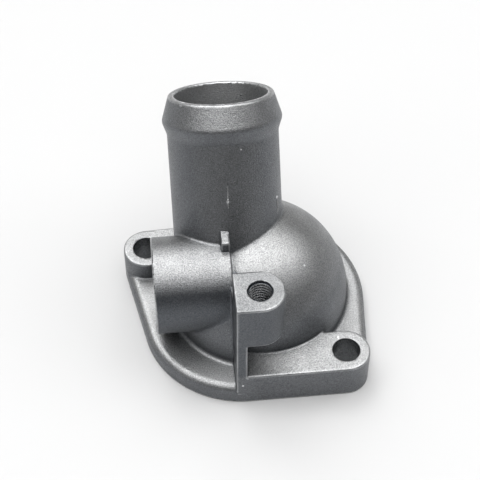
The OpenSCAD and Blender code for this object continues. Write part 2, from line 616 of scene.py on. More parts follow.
CORNERS = [(i, j, k) for i in (0, 1) for j in (0, 1) for k in (0, 1)]
CELL_RING = ((-1, -1), (0, -1), (0, 0), (-1, 0))
NEIGHBOURS = 6.0
TINY = 1e-9


@dataclass
class Surface:
    """Closed surface of a solid that is given by its distances."""

    solid: "Casting"
    step: float
    low: np.ndarray
    high: np.ndarray
    probe: float = 0.02
    hold: float = 0.1
    settle_times: int = 4
    rows: np.ndarray = field(init=False)
    tris: np.ndarray = field(init=False)

    def sample(self) -> np.ndarray:
        """Measures the solid on a regular grid, one layer at a time.

        Returns:
            Distances on the grid.
        """
        axes = [np.arange(lo, hi, self.step) for lo, hi in zip(self.low, self.high)]
        y, z = (v.ravel() for v in np.meshgrid(axes[1], axes[2], indexing="ij"))
        shape = len(axes[1]), len(axes[2])
        layers = [
            self.solid.distance(Points(np.full_like(y, x), y, z)).reshape(shape)
            for x in axes[0]
        ]
        return np.stack(layers)

    def trace(self) -> None:
        """Finds the surface's points and triangles."""
        grid = self.sample()
        inside = grid < 0.0
        cells = tuple(n - 1 for n in grid.shape)
        held = np.zeros(cells, np.int8)
        for i, j, k in CORNERS:
            held += inside[i : i + cells[0], j : j + cells[1], k : k + cells[2]]
        crossed = np.argwhere((held > 0) & (held < len(CORNERS)))
        number = np.full(cells, -1, np.int64)
        number[tuple(crossed.T)] = np.arange(len(crossed))
        quads, places = self.quads(grid, number)
        self.rows = self.meets(quads, places, self.low + crossed * self.step)
        self.settle()
        self.tris = self.halves(quads)

    def quads(
        self, grid: np.ndarray, number: np.ndarray
    ) -> Tuple[np.ndarray, np.ndarray]:
        """Joins the points of the four cells round each crossed grid edge.

        Args:
            grid: Distances on the grid.
            number: Number of each cell's surface point.

        Returns:
            Rows of four point numbers, facing outwards, and each crossing's place.
        """
        found: List[np.ndarray] = []
        places: List[np.ndarray] = []
        for axis in range(3):
            b, c = (axis + 1) % 3, (axis + 2) % 3
            head, tail = [slice(None)] * 3, [slice(None)] * 3
            head[axis], tail[axis] = slice(0, -1), slice(1, None)
            first, second = grid[tuple(head)], grid[tuple(tail)]
            at = np.argwhere((first < 0.0) != (second < 0.0))
            near, far = first[tuple(at.T)], second[tuple(at.T)]
            ring = []
            for db, dc in CELL_RING:
                cell = at.copy()
                cell[:, b] += db
                cell[:, c] += dc
                ring.append(number[tuple(cell.T)])
            quad = np.stack(ring, axis=1)
            found.append(np.where((near < 0.0)[:, None], quad, quad[:, ::-1]))
            place = at.astype(float)
            place[:, axis] += near / (near - far)
            places.append(self.low + place * self.step)
        return np.concatenate(found), np.concatenate(places)

    def meets(
        self, quads: np.ndarray, places: np.ndarray, lows: np.ndarray
    ) -> np.ndarray:
        """Puts each cell's point where the planes through its crossings meet.

        Args:
            quads: Rows of four point numbers, one row for each crossing.
            places: Place of each crossing.
            lows: Low corner of each cell.

        Returns:
            The points, so that edges run through points instead of between them.
        """
        _, run, _ = self.slope(places, self.probe)
        along = (run * places).sum(axis=1)
        cell = quads.ravel()

        def total(value: np.ndarray) -> np.ndarray:
            """Adds up a crossing's value over its four cells."""
            return np.bincount(cell, np.repeat(value, len(CELL_RING)), len(lows))

        def columns(values: np.ndarray) -> np.ndarray:
            """Adds up each column of the crossings' values."""
            return np.stack([total(value) for value in values.T], axis=1)

        middle = columns(places) / total(np.ones(len(quads)))[:, None]
        lean = np.stack([columns(run * run[:, [a]]) for a in range(3)], axis=1)
        pull = columns(run * along[:, None]) - (lean @ middle[:, :, None])[:, :, 0]
        held = lean + self.hold * np.eye(3)
        move = np.linalg.solve(held, pull[:, :, None])[:, :, 0]
        return np.clip(middle + move, lows, lows + self.step)

    def halves(self, quads: np.ndarray) -> np.ndarray:
        """Splits each four-sided face along the diagonal that lies nearer the solid.

        Args:
            quads: Rows of four point numbers.

        Returns:
            Rows of three point numbers.
        """
        corner = self.rows[quads]
        middle = [(corner[:, a] + corner[:, a + 2]) / 2 for a in (0, 1)]
        miss = [np.abs(self.solid.distance(Points.of(m))) for m in middle]
        first = (miss[0] <= miss[1])[:, None]
        one = np.where(first, quads[:, [0, 1, 2]], quads[:, [0, 1, 3]])
        two = np.where(first, quads[:, [0, 2, 3]], quads[:, [1, 2, 3]])
        return np.concatenate([one, two])

    def slope(
        self, rows: np.ndarray, reach: float
    ) -> Tuple[np.ndarray, np.ndarray, np.ndarray]:
        """Measures how the field runs at each point.

        Args:
            rows: The points.
            reach: Distance from each point to the places measured round it.

        Returns:
            Distances, unit slopes and the bend of the surface, positive on edges.
        """
        here = self.solid.distance(Points.of(rows))
        run = np.zeros_like(rows)
        total = np.zeros(len(rows))
        for axis in range(3):
            shift = np.zeros(3)
            shift[axis] = reach
            ahead = self.solid.distance(Points.of(rows + shift))
            behind = self.solid.distance(Points.of(rows - shift))
            run[:, axis] = ahead - behind
            total += ahead + behind
        size = np.maximum(np.linalg.norm(run, axis=1, keepdims=True), TINY)
        return here, run / size, (total - NEIGHBOURS * here) / reach**2

    def settle(self) -> None:
        """Moves each point along the slope onto the surface."""
        for _ in range(self.settle_times):
            here, run, _ = self.slope(self.rows, self.probe)
            self.rows = self.rows - run * np.clip(here, -self.step, self.step)[:, None]

    def mesh(self, name: str) -> bpy.types.Mesh:
        """Writes the surface as a mesh in metres, shaded by the field's own slope.

        Args:
            name: Name of the mesh.

        Returns:
            The mesh.
        """
        made = bpy.data.meshes.new(name)
        made.from_pydata((self.rows * MM).tolist(), [], self.tris.tolist())
        made.polygons.foreach_set("use_smooth", np.ones(len(made.polygons), bool))
        _, normal, _ = self.slope(self.rows, self.probe)
        made.normals_split_custom_set_from_vertices(normal.tolist())
        return made


# Finishes


class Texture(Enum):
    """Node types that draw a pattern."""

    NOISE = "ShaderNodeTexNoise"
    VORONOI = "ShaderNodeTexVoronoi"
    WAVE = "ShaderNodeTexWave"


# The wave texture takes the sine of its places times this number.
RING_FACTOR = 20.0


class Tree(Enum):
    """Types of node trees."""

    SHADER = "ShaderNodeTree"
    GEOMETRY = "GeometryNodeTree"


class Kind(Enum):
    """Kinds of values that a node tree takes in or puts out."""

    NUMBER = "NodeSocketFloat"
    VECTOR = "NodeSocketVector"
    MATERIAL = "NodeSocketMaterial"
    GEOMETRY = "NodeSocketGeometry"


class Mask(Enum):
    """Numbers that a piece's points carry for its finish."""

    BEND = "bend"
    CUT = "cut"
    # Painted shade on walls by their slope, and on the boss, web and stub.
    PAINTED_SHADE = "steep"
    INNER = "inner"
    CREST = "crest"


class Graph:
    """Short ways to place and join the nodes of one tree."""

    ROW = 12
    WIDTH = 180
    HEIGHT = 260
    FIRST_COLOUR = 6
    SECOND_COLOUR = 7
    MIXED_COLOUR = 2

    def __init__(self, tree: bpy.types.NodeTree) -> None:
        """Keeps the tree and starts a row of nodes."""
        self.tree = tree
        self.placed = 0

    def add(self, kind: str, inputs: Optional[Inputs] = None, **settings: Any) -> bpy.types.Node:
        """Places a node.

        Args:
            kind: Type of the node.
            inputs: Values or sockets by the name or number of the input.
            **settings: Properties of the node itself.

        Returns:
            The node.
        """
        node = self.tree.nodes.new(kind)
        row, column = divmod(self.placed, self.ROW)
        node.location = self.WIDTH * column, -self.HEIGHT * row
        self.placed += 1
        for key, value in settings.items():
            setattr(node, key, value)
        for key, value in (inputs or {}).items():
            if isinstance(value, bpy.types.NodeSocket):
                self.tree.links.new(value, node.inputs[key])
            else:
                node.inputs[key].default_value = value
        return node

    def math(self, operation: str, a: Value, b: Value, clamp: bool = False) -> Socket:
        """Places one step of arithmetic and gives its result."""
        node = self.add("ShaderNodeMath", {0: a, 1: b}, operation=operation, use_clamp=clamp)
        return node.outputs[0]

    def ramp(self, value: Socket, span: Span, to: Span = (0.0, 1.0)) -> Socket:
        """Maps a value from one range to another and keeps it inside."""
        inputs = dict(enumerate((value, *span, *to)))
        return self.add("ShaderNodeMapRange", inputs).outputs[0]

    def noise(self, place: Socket, scale: Value, detail: float = 2.0, rough: float = 0.5) -> Socket:
        """Places a cloud pattern and gives its level."""
        inputs = {"Vector": place, "Scale": scale, "Detail": detail, "Roughness": rough}
        return self.add(Texture.NOISE.value, inputs).outputs[0]

    def mix(self, share: Value, a: Value, b: Value) -> Socket:
        """Mixes two colours."""
        inputs = {0: share, self.FIRST_COLOUR: a, self.SECOND_COLOUR: b}
        return self.add("ShaderNodeMix", inputs, data_type="RGBA").outputs[self.MIXED_COLOUR]

    def mask(self, mask: Mask) -> Socket:
        """Reads a number that the piece's points carry."""
        return self.add("ShaderNodeAttribute", attribute_name=mask.value).outputs["Fac"]

    def group(self, name: str, inputs: Inputs) -> Outputs:
        """Places a shared node group and gives what it puts out."""
        tree = bpy.data.node_groups[name]
        return self.add("ShaderNodeGroup", inputs, node_tree=tree).outputs

    def put_out(self, kind: Kind, results: Dict[str, Socket]) -> None:
        """Ends a node tree with one named output for each result.

        Args:
            kind: Kind of the outputs.
            results: What goes into each output, by its name.
        """
        for label in results:
            self.tree.interface.new_socket(label, in_out="OUTPUT", socket_type=kind.value)
        self.add("NodeGroupOutput", results)


def new_tree(name: str, kind: Tree, takes: Dict[str, Kind]) -> Tuple[Graph, Outputs]:
    """Starts a node tree with named inputs.

    Args:
        name: Name of the tree.
        kind: Type of the tree.
        takes: Name and kind of each input.

    Returns:
        The tree's graph, and its inputs by name.
    """
    tree = bpy.data.node_groups.new(name, kind.value)
    for label, socket in takes.items():
        tree.interface.new_socket(label, in_out="INPUT", socket_type=socket.value)
    g = Graph(tree)
    return g, g.add("NodeGroupInput").outputs


def new_material(name: str) -> Tuple[bpy.types.Material, Graph, Socket]:
    """Starts a material.

    Args:
        name: Name of the material.

    Returns:
        The material, its graph and the object coordinates.
    """
    made = bpy.data.materials.new(name)
    made.use_nodes = True
    made.node_tree.nodes.clear()
    g = Graph(made.node_tree)
    return made, g, g.add("ShaderNodeTexCoord").outputs["Object"]


def bare_metal(g: Graph, colour: Socket, rough: Socket, height: Socket, unit: float) -> None:
    """Ends a material as bare metal.

    Args:
        g: Graph of the material.
        colour: Colour of the metal.
        rough: Its roughness.
        height: Height of its fine relief.
        unit: Length of one step of that height, in metres.
    """
    bump = g.add("ShaderNodeBump", {"Strength": 1.0, "Distance": unit, "Height": height})
    inputs = {
        "Base Color": colour,
        "Metallic": 1.0,
        "Roughness": rough,
        "Normal": bump.outputs[0],
    }
    shader = g.add("ShaderNodeBsdfPrincipled", inputs)
    g.add("ShaderNodeOutputMaterial", {0: shader.outputs[0]})


@dataclass(frozen=True)
class BlastGrain:
    """Grain that shot blasting leaves on a die casting, as a shared node group.

    Each pattern has its detail and its roughness.
    """

    name: str = "blast grain"
    pits: Span = (3.0, 0.6)
    speck: Span = (2.0, 0.7)
    cloud: Span = (4.0, 0.55)
    cell_share: float = 0.7
    glint_span: Span = (0.72, 1.0)
    speck_span: Span = (0.28, 0.72)

    def build(self) -> None:
        """Makes the group, which puts out a height, a sparkle, a fine tone and a slow cloud."""
        takes = {"Place": Kind.VECTOR, "Grain size": Kind.NUMBER, "Cloud size": Kind.NUMBER}
        g, given = new_tree(self.name, Tree.SHADER, takes)
        place = given["Place"]
        fine = g.math("DIVIDE", 1.0 / MM, given["Grain size"])
        slow = g.math("DIVIDE", 1.0 / MM, given["Cloud size"])
        cells = g.add(Texture.VORONOI.value, {"Vector": place, "Scale": fine}).outputs
        rounded = g.math("MULTIPLY", cells["Distance"], self.cell_share)
        glint = g.add("ShaderNodeSeparateColor", {0: cells["Color"]}).outputs[0]
        results = {
            "Height": g.math("ADD", rounded, g.noise(place, fine, *self.pits)),
            # Bright random grain cells that stand for painted glints.
            "Sparkle": g.ramp(glint, self.glint_span),
            "Tone": g.ramp(g.noise(place, fine, *self.speck), self.speck_span),
            "Cloud": g.noise(place, slow, *self.cloud),
        }
        g.put_out(Kind.NUMBER, results)


@dataclass(frozen=True)
class RubbedEdgeAndPaintedLight:
    """Shared node group: edges rubbed bright with a painted highlight, painted shade in corners."""

    name: str = "rubbed edge and painted light"
    edge_bend: Span = (0.35, 1.9)
    corner_bend: Span = (-0.05, -0.9)
    patch_span: Span = (0.3, 0.7)
    patch_level: Span = (0.45, 1.0)

    def build(self) -> None:
        """Makes the group, which puts out one mask for the edges and one for the corners."""
        takes = {"Bend": Kind.NUMBER, "Breakup": Kind.NUMBER}
        g, given = new_tree(self.name, Tree.SHADER, takes)
        edge = g.ramp(given["Bend"], self.edge_bend)
        patchy = g.ramp(given["Breakup"], self.patch_span, self.patch_level)
        # The first mask is bright rubbed metal with a painted highlight on outer edges, the second
        # painted shade in inner corners.
        results = {
            "Rubbing and highlight": g.math("MULTIPLY", edge, patchy, clamp=True),
            "Corner": g.ramp(given["Bend"], self.corner_bend),
        }
        g.put_out(Kind.NUMBER, results)


@dataclass(frozen=True)
class NickMark:
    """Small bright mark, a soft-edged patch about a place, as a shared node group."""

    name: str = "nick"
    edge: Span = (0.55, 1.0)

    def build(self) -> None:
        """Makes the group, which puts out the mark's mask."""
        takes = {"Place": Kind.VECTOR, "Centre": Kind.VECTOR, "Radius": Kind.NUMBER}
        g, given = new_tree(self.name, Tree.SHADER, takes)
        ends = {0: given["Place"], 1: given["Centre"]}
        gap = g.add("ShaderNodeVectorMath", ends, operation="DISTANCE").outputs["Value"]
        share = g.math("DIVIDE", gap, given["Radius"])
        g.put_out(Kind.NUMBER, {"Mark": g.ramp(share, self.edge, (1.0, 0.0))})


@dataclass(frozen=True)
class Nick:
    """Small bright mark at a place on the casting, in millimetres."""

    at: Place
    radius: float


@dataclass(frozen=True)
class CastFinish:
    """Blasted aluminium as it leaves the die, bare metal where it was cut, with painted shade and
    light.

    A share says how far a mask changes the colour, a gloss how far it lowers
    the roughness.
    """

    name: str = "cast aluminium"
    dull: Colour = (0.57, 0.575, 0.578, 1.0)
    pale: Colour = (0.65, 0.654, 0.655, 1.0)
    # Bright metal of cut faces and nicks, also used for painted glints, the painted highlight on
    # edges and the painted light inside the bores.
    bright: Colour = (0.78, 0.79, 0.80, 1.0)
    # Colour of the painted shade on walls, on the boss, web and stub, and in inner corners.
    deep: Colour = (0.155, 0.165, 0.18, 1.0)
    pit: Colour = (0.03, 0.032, 0.035, 1.0)
    cloud_span: Span = (0.3, 0.7)
    rough_range: Span = (0.46, 0.39)
    painted_glint_share: float = 0.2
    corner_shade_share: float = 0.35
    painted_shade_share: float = 0.85
    pit_share: float = 0.68
    cut_share: float = 0.2
    inner_painted_light_share: float = 0.3
    rubbed_and_highlight_share: float = 0.55
    sparkle_gloss: float = 0.1
    bare_gloss: float = 0.16
    cut_gloss: float = 0.12
    grain_size: float = 0.38
    cloud_size: float = 7.0
    grain_height: float = 0.08
    cut_line: float = 0.98646
    cut_waver: float = 0.6
    cut_height: float = 0.01

    def make(self, nicks: Sequence[Nick]) -> bpy.types.Material:
        """Builds the finish.

        Args:
            nicks: Bright marks on the piece.

        Returns:
            The material.
        """
        made, g, place = new_material(self.name)
        cut, inner = g.mask(Mask.CUT), g.mask(Mask.INNER)
        sizes = {"Grain size": self.grain_size, "Cloud size": self.cloud_size}
        grain = g.group(BlastGrain.name, {"Place": place, **sizes})
        bend = {"Bend": g.mask(Mask.BEND), "Breakup": grain["Cloud"]}
        edge_and_corner_masks = g.group(RubbedEdgeAndPaintedLight.name, bend)
        colour = g.mix(g.ramp(grain["Cloud"], self.cloud_span), self.dull, self.pale)
        layers = (
            # Painted glints on random grain cells.
            (grain["Sparkle"], self.painted_glint_share, self.bright),
            # Painted shade in inner corners.
            (edge_and_corner_masks["Corner"], self.corner_shade_share, self.deep),
            # Painted shade on walls and on the boss, web and stub, kept off the inner walls.
            (g.math("SUBTRACT", g.mask(Mask.PAINTED_SHADE), inner), self.painted_shade_share, self.deep),
            (g.math("SUBTRACT", 1.0, grain["Tone"]), self.pit_share, self.pit),
            (cut, self.cut_share, self.bright),
            # Painted light on the walls inside the neck and the valve's room.
            (inner, self.inner_painted_light_share, self.bright),
        )
        for mask, share, tint in layers:
            colour = g.mix(g.math("MULTIPLY", mask, share, clamp=True), colour, tint)
        # Edges rubbed bright, with a painted highlight along them, and the nicks as bright metal.
        bare = g.math("MULTIPLY", edge_and_corner_masks["Rubbing and highlight"], self.rubbed_and_highlight_share)
        for nick in nicks:
            spot = {"Centre": [v * MM for v in nick.at], "Radius": nick.radius * MM}
            mark = g.group(NickMark.name, {"Place": place, **spot})["Mark"]
            bare = g.math("MAXIMUM", bare, mark)
        colour = g.mix(bare, colour, self.bright)
        rough = g.ramp(grain["Cloud"], self.cloud_span, self.rough_range)
        shine = (
            (grain["Sparkle"], self.sparkle_gloss),
            (bare, self.bare_gloss),
            (cut, self.cut_gloss),
        )
        for mask, gloss in shine:
            rough = g.math("SUBTRACT", rough, g.math("MULTIPLY", mask, gloss))
        bare_metal(g, colour, rough, self.height(g, place, grain["Height"], cut), MM)
        return made

    def height(self, g: Graph, place: Socket, grain: Socket, cut: Socket) -> Socket:
        """Draws the blasted grain, or fine tool lines where the metal was cut.

        Args:
            g: Graph of the material.
            place: Object coordinates.
            grain: Height of the blasted grain.
            cut: Mask of the cut faces.

        Returns:
            The height in millimetres.
        """
        scale = math.tau / RING_FACTOR / (self.cut_line * MM)
        rings = g.add(
            Texture.WAVE.value,
            {"Vector": place, "Scale": scale, "Distortion": self.cut_waver},
            wave_type="RINGS",
            rings_direction="SPHERICAL",
        )
        lines = g.math("MULTIPLY", rings.outputs["Fac"], self.cut_height)
        blasted = g.math("MULTIPLY", grain, self.grain_height)
        left = g.math("SUBTRACT", 1.0, cut)
        return g.math("ADD", g.math("MULTIPLY", blasted, left), g.math("MULTIPLY", lines, cut))


@dataclass(frozen=True)
class CutFinish:
    """Bare metal of a cut thread, with bright crests and painted shade in the grooves."""

    name: str = "cut thread"
    metal: Colour = (0.86, 0.865, 0.87, 1.0)
    groove_shade: Colour = (0.026, 0.03, 0.036, 1.0)
    crest_span: Span = (0.55, 1.0)
    streak_size: float = 0.5
    streak_span: Span = (0.3, 0.7)
    streak_height: float = 0.01
    rough_range: Span = (0.3, 0.2)

    def make(self) -> bpy.types.Material:
        """Builds the finish.

        Returns:
            The material.
        """
        made, g, place = new_material(self.name)
        streak = g.noise(place, 1.0 / (self.streak_size * MM))
        # The grooves are painted near black for the shade in the hole.
        colour = g.mix(g.ramp(g.mask(Mask.CREST), self.crest_span), self.groove_shade, self.metal)
        rough = g.ramp(streak, self.streak_span, self.rough_range)
        bare_metal(g, colour, rough, streak, self.streak_height * MM)
        return made


# The casting


@dataclass
class Casting:
    """The whole housing, cast in one piece.

    A reach is how near a point lies to a face that it counts with, a fade the
    stretch over which a tone changes, and a shade value how far painted shade
    lowers a tone.
    """

    name: str = "housing_casting"
    flange: Flange = field(default_factory=Flange)
    dome: Dome = field(default_factory=Dome)
    neck: HoseNeck = field(default_factory=HoseNeck)
    stub: SensorStub = field(default_factory=SensorStub)
    boss: BracketBoss = field(default_factory=BracketBoss)
    step: float = 0.675
    margin: float = 1.5
    rib_foot: float = 0.4
    lug_foot: float = 0.35
    hole_edge: float = 0.25
    gasket_edge: float = 0.3
    bend_reach: float = 0.3
    cut_reach: float = 0.25
    steep_from: float = 0.9
    steep_fade: float = 0.5
    rim_reach: float = 1.1
    rim_bend_share: float = 0.08
    # How far painted shade darkens the boss, its web and the stub.
    boss_shade: float = 0.4
    web_shade: float = 0.9
    stub_shade: float = 0.2
    stub_fade: float = 0.3
    shade_fade: float = 9.0

    def outside(self, p: Points) -> Field:
        """Gives distances to the casting before its hollows are cut.

        Args:
            p: Places to measure from.

        Returns:
            Distances to the full casting.
        """
        body = self.flange.solid(p, self.dome.solid(p), self.dome.foot_fillet)
        body = round_join(body, self.stub.solid(p), self.stub.dome_fillet)
        body = round_join(body, self.boss.solid(p), self.rib_foot)
        body = np.maximum(body, self.flange.front_y - p.y)
        neck = round_join(body, self.neck.solid(p), self.neck.stub_fillet)
        return np.minimum(neck, round_join(body, self.stub.lug(p), self.lug_foot))

    def hollows(self, p: Points) -> Field:
        """Gives distances to everything that is cut out of the casting."""
        parts = (self.flange, self.dome, self.neck, self.stub, self.boss)
        return np.minimum.reduce([part.hollow(p) for part in parts])

    def distance(self, p: Points) -> Field:
        """Gives distances to the finished casting."""
        body = round_meet(self.outside(p), -self.hollows(p), self.hole_edge)
        return round_meet(body, -p.z, self.gasket_edge)

    def build(self) -> bpy.types.Object:
        """Makes the casting's mesh with the masks that its finish reads.

        Returns:
            The piece.
        """
        low, high = (np.array(v) / MM for v in CAD_BOX)
        surface = Surface(self, self.step, low - self.margin, high + self.margin)
        surface.trace()
        mesh = surface.mesh(self.name)
        _, slope, bend = surface.slope(surface.rows, self.bend_reach)
        p = Points.of(surface.rows)
        rim = np.minimum(self.flange.hollow(p), self.boss.hollow(p)) < self.rim_reach
        stub = self.stub.solid(p) < self.cut_reach
        fade = np.where(stub, self.stub_fade, self.steep_fade)
        steep = np.clip((self.steep_from - slope[:, 2]) / fade, 0.0, 1.0)
        masks = {
            Mask.BEND: np.where(rim, bend * self.rim_bend_share, bend),
            # Painted shade: the steeper a wall, the darker, and the boss, web and stub darker
            # still.
            Mask.PAINTED_SHADE: steep + self.part_shade(p),
            Mask.INNER: self.inner_faces(p),
            Mask.CUT: self.cut_faces(p),
        }
        for mask, values in masks.items():
            layer = mesh.attributes.new(mask.value, "FLOAT", "POINT")
            layer.data.foreach_set("value", values.astype(np.float32))
        piece = shown(self.name, mesh)
        LOG.info("%s: %d triangles", self.name, len(mesh.polygons))
        return piece

    def part_shade(self, p: Points) -> Field:
        """Gives the painted shade on the boss, its web and the stub, over the rest.

        Args:
            p: The surface's points.

        Returns:
            What is added to the painted shade on walls.
        """
        above = np.clip((p.z - self.flange.pad_h) / self.shade_fade, 0.0, 1.0)
        over_web = p.z > self.boss.web_top + self.cut_reach
        tone = np.where(over_web, self.boss_shade, self.web_shade)
        boss = above * (self.boss.solid(p) < self.cut_reach) * tone
        return np.maximum(boss, (self.stub.solid(p) < self.cut_reach) * self.stub_shade)

    def cut_faces(self, p: Points) -> Field:
        """Marks the faces that a tool has cut.

        Args:
            p: The surface's points.

        Returns:
            True on a cut face, False on the skin of the casting.
        """
        deep = self.outside(p) < -self.rim_reach
        near = [
            deep & (np.abs(part.hollow(p)) < self.cut_reach)
            for part in (self.flange, self.stub, self.boss)
        ]
        seat = (p.z < self.dome.seat_depth + self.cut_reach) & (
            np.hypot(p.x, p.y) < self.dome.seat_d / 2 + self.cut_reach
        )
        near.append(seat & (np.abs(self.dome.hollow(p)) < self.cut_reach))
        near.append(p.z < self.cut_reach)
        end = self.stub.off(p) < self.stub.outer_d / 2
        near.append(end & (np.abs(p.x + self.stub.reach) < self.cut_reach))
        return np.logical_or.reduce(near)

    def inner_faces(self, p: Points) -> Field:
        """Marks the walls inside the neck and the valve's room."""
        inner = np.minimum(self.neck.hollow(p), self.dome.hollow(p))
        return inner < self.cut_reach

    def nicks(self) -> List[Nick]:
        """Gives the bright marks that handling has left.

        Returns:
            The marks on the neck, then the others.
        """
        neck, rim, side = self.neck, self.neck.rim_d / 2, self.neck.outer_d / 2
        # Each row has a mark's depth below the rim, its degrees round the neck, its distance
        # from the neck's axis and its own radius.
        on_neck = (
            (31.3, -1.9, side + 0.15, 0.7),
            (30.6, -1.9, side + 0.15, 0.5),
            (14.4, 14.0, side, 0.4),
            (0.3, -50.7, rim - 0.5, 1.2),
            (0.1, -48.5, rim - 0.7, 0.6),
            (0.1, -3.5, rim - 1.4, 1.5),
            (0.1, -1.0, rim - 1.5, 0.7),
            (0.1, 179.0, rim - 1.2, 0.7),
            (4.5, 150.7, rim - 1.9, 0.5),
            (5.6, 149.0, rim - 1.9, 0.45),
            (33.8, 61.0, side + 0.15, 0.6),
        )
        elsewhere = [
            Nick((13.9, -11.8, 35.3), 0.45),
            Nick((-8.7, -39.3, 9.7), 0.45),
            Nick((24.0, -26.3, 14.1), 0.5),
        ]
        found = [Nick(tuple(neck.place(neck.length - d, t, r)), w) for d, t, r, w in on_neck]
        return found + elsewhere

    def dress(self, piece: bpy.types.Object) -> None:
        """Gives the casting its finish and its place in the frame.

        Args:
            piece: The casting.
        """
        piece.data.materials.append(CastFinish().make(self.nicks()))
        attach(piece, ROOT)
        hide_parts(CAD_NODE)


# Screw threads and die lines


def sweep(g: Graph, curve: Socket, section: Socket) -> Socket:
    """Draws a section along a curve, with closed ends."""
    inputs = {"Curve": curve, "Profile Curve": section, "Fill Caps": True}
    return g.add("GeometryNodeCurveToMesh", inputs).outputs[0]


def coat(g: Graph, shape: Socket, finish: Socket) -> None:
    """Ends a tree with plain geometry in its finish.

    Args:
        g: Graph of the tree.
        shape: The geometry.
        finish: Its material.
    """
    real = g.add("GeometryNodeRealizeInstances", {"Geometry": shape}).outputs[0]
    coated = g.add("GeometryNodeSetMaterial", {"Geometry": real, "Material": finish})
    g.put_out(Kind.GEOMETRY, {"Geometry": coated.outputs[0]})


class ThreadTree:
    """Geometry nodes that wind one screw thread inside a hole."""

    NAME = "inner thread"
    TAKES = {
        "Radius": Kind.NUMBER,
        "Depth": Kind.NUMBER,
        "Pitch": Kind.NUMBER,
        "Length": Kind.NUMBER,
        "Place": Kind.VECTOR,
        "Turn": Kind.VECTOR,
        "Finish": Kind.MATERIAL,
    }
    STEPS_A_TURN = 48
    ROOT_SHARE = 0.46
    CREST_SHARE = 0.07
    SINK_SHARE = 0.06
    PAST_ROOT = 1.5

    def __init__(self) -> None:
        """Joins the nodes: a spiral, the thread's section along it, and its place."""
        g, given = new_tree(self.NAME, Tree.GEOMETRY, self.TAKES)
        self.tree = g.tree
        spiral = g.add(
            "GeometryNodeCurveSpiral",
            {
                "Resolution": self.STEPS_A_TURN,
                "Rotations": g.math("DIVIDE", given["Length"], given["Pitch"]),
                "Start Radius": given["Radius"],
                "End Radius": given["Radius"],
                "Height": given["Length"],
            },
        )
        level = g.add("GeometryNodeSetCurveNormal", {"Curve": spiral.outputs[0]}, mode="Z_UP")
        ridge = sweep(g, level.outputs[0], self.section(g, given))
        inputs = {"Geometry": ridge, "Translation": given["Place"], "Rotation": given["Turn"]}
        coat(g, g.add("GeometryNodeTransform", inputs).outputs[0], given["Finish"])

    def section(self, g: Graph, given: Outputs) -> Socket:
        """Draws the ridge's section, its first two corners at the root and two at the crest.

        Args:
            g: Graph of the tree.
            given: The tree's inputs.

        Returns:
            The section, with the corners at the crest marked.
        """
        root, crest, sink = (
            g.math("MULTIPLY", given["Pitch"], share)
            for share in (self.ROOT_SHARE, self.CREST_SHARE, -self.SINK_SHARE)
        )
        rise = given["Depth"]
        corners = ((sink, root, 1.0), (sink, root, -1.0), (rise, crest, -1.0), (rise, crest, 1.0))
        points = {}
        for number, (out, half, side) in enumerate(corners, 1):
            point = g.add("ShaderNodeCombineXYZ", {0: out, 1: g.math("MULTIPLY", half, side)})
            points[f"Point {number}"] = point.outputs[0]
        drawn = g.add("GeometryNodeCurvePrimitiveQuadrilateral", points, mode="POINTS")
        index = g.add("GeometryNodeInputIndex").outputs[0]
        marked = {
            "Geometry": drawn.outputs[0],
            "Name": Mask.CREST.value,
            "Value": g.math("GREATER_THAN", index, self.PAST_ROOT),
        }
        return g.add("GeometryNodeStoreNamedAttribute", marked).outputs[0]


class DieLineTree:
    """Geometry nodes that lay a fine raised line, sunk into the wall at both ends."""

    NAME = "die line"
    TAKES = {
        "Start": Kind.VECTOR,
        "Middle": Kind.VECTOR,
        "End": Kind.VECTOR,
        "Width": Kind.NUMBER,
        "Finish": Kind.MATERIAL,
    }
    STEPS = 40
    SIDES = 14

    def __init__(self) -> None:
        """Joins the nodes: an arc through three places and a round section along it."""
        g, given = new_tree(self.NAME, Tree.GEOMETRY, self.TAKES)
        self.tree = g.tree
        places = {label: given[label] for label in ("Start", "Middle", "End")}
        bow = g.add("GeometryNodeCurveArc", {"Resolution": self.STEPS, **places}, mode="POINTS")
        radius = g.math("MULTIPLY", given["Width"], 0.5)
        around = {"Resolution": self.SIDES, "Radius": radius}
        ring = g.add("GeometryNodeCurvePrimitiveCircle", around)
        coat(g, sweep(g, bow.outputs[0], ring.outputs[0]), given["Finish"])


class Relief:
    """Fine relief on the casting, which shares its body."""

    def dress(self, piece: bpy.types.Object) -> None:
        """Gives the relief its place in the frame."""
        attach(piece, ROOT)


@dataclass(frozen=True)
class InnerThread(Relief):
    """One screw thread cut in a hole of the casting."""

    name: str
    major_d: float
    tapping: Tapping
    foot: Place
    turn: Place

    def build(self, tree: ThreadTree, finish: bpy.types.Material) -> bpy.types.Object:
        """Winds the thread and turns it into a plain mesh.

        Args:
            tree: Geometry nodes that wind a thread.
            finish: Material of the cut metal.

        Returns:
            The piece.
        """
        values = {
            "Radius": self.major_d / 2 * MM,
            "Depth": (self.major_d - self.tapping.minor_d) / 2 * MM,
            "Pitch": self.tapping.pitch * MM,
            "Length": self.tapping.run * MM,
            "Place": [v * MM for v in self.foot],
            "Turn": [math.radians(v) for v in self.turn],
            "Finish": finish,
        }
        return baked(self.name, tree.tree, values)


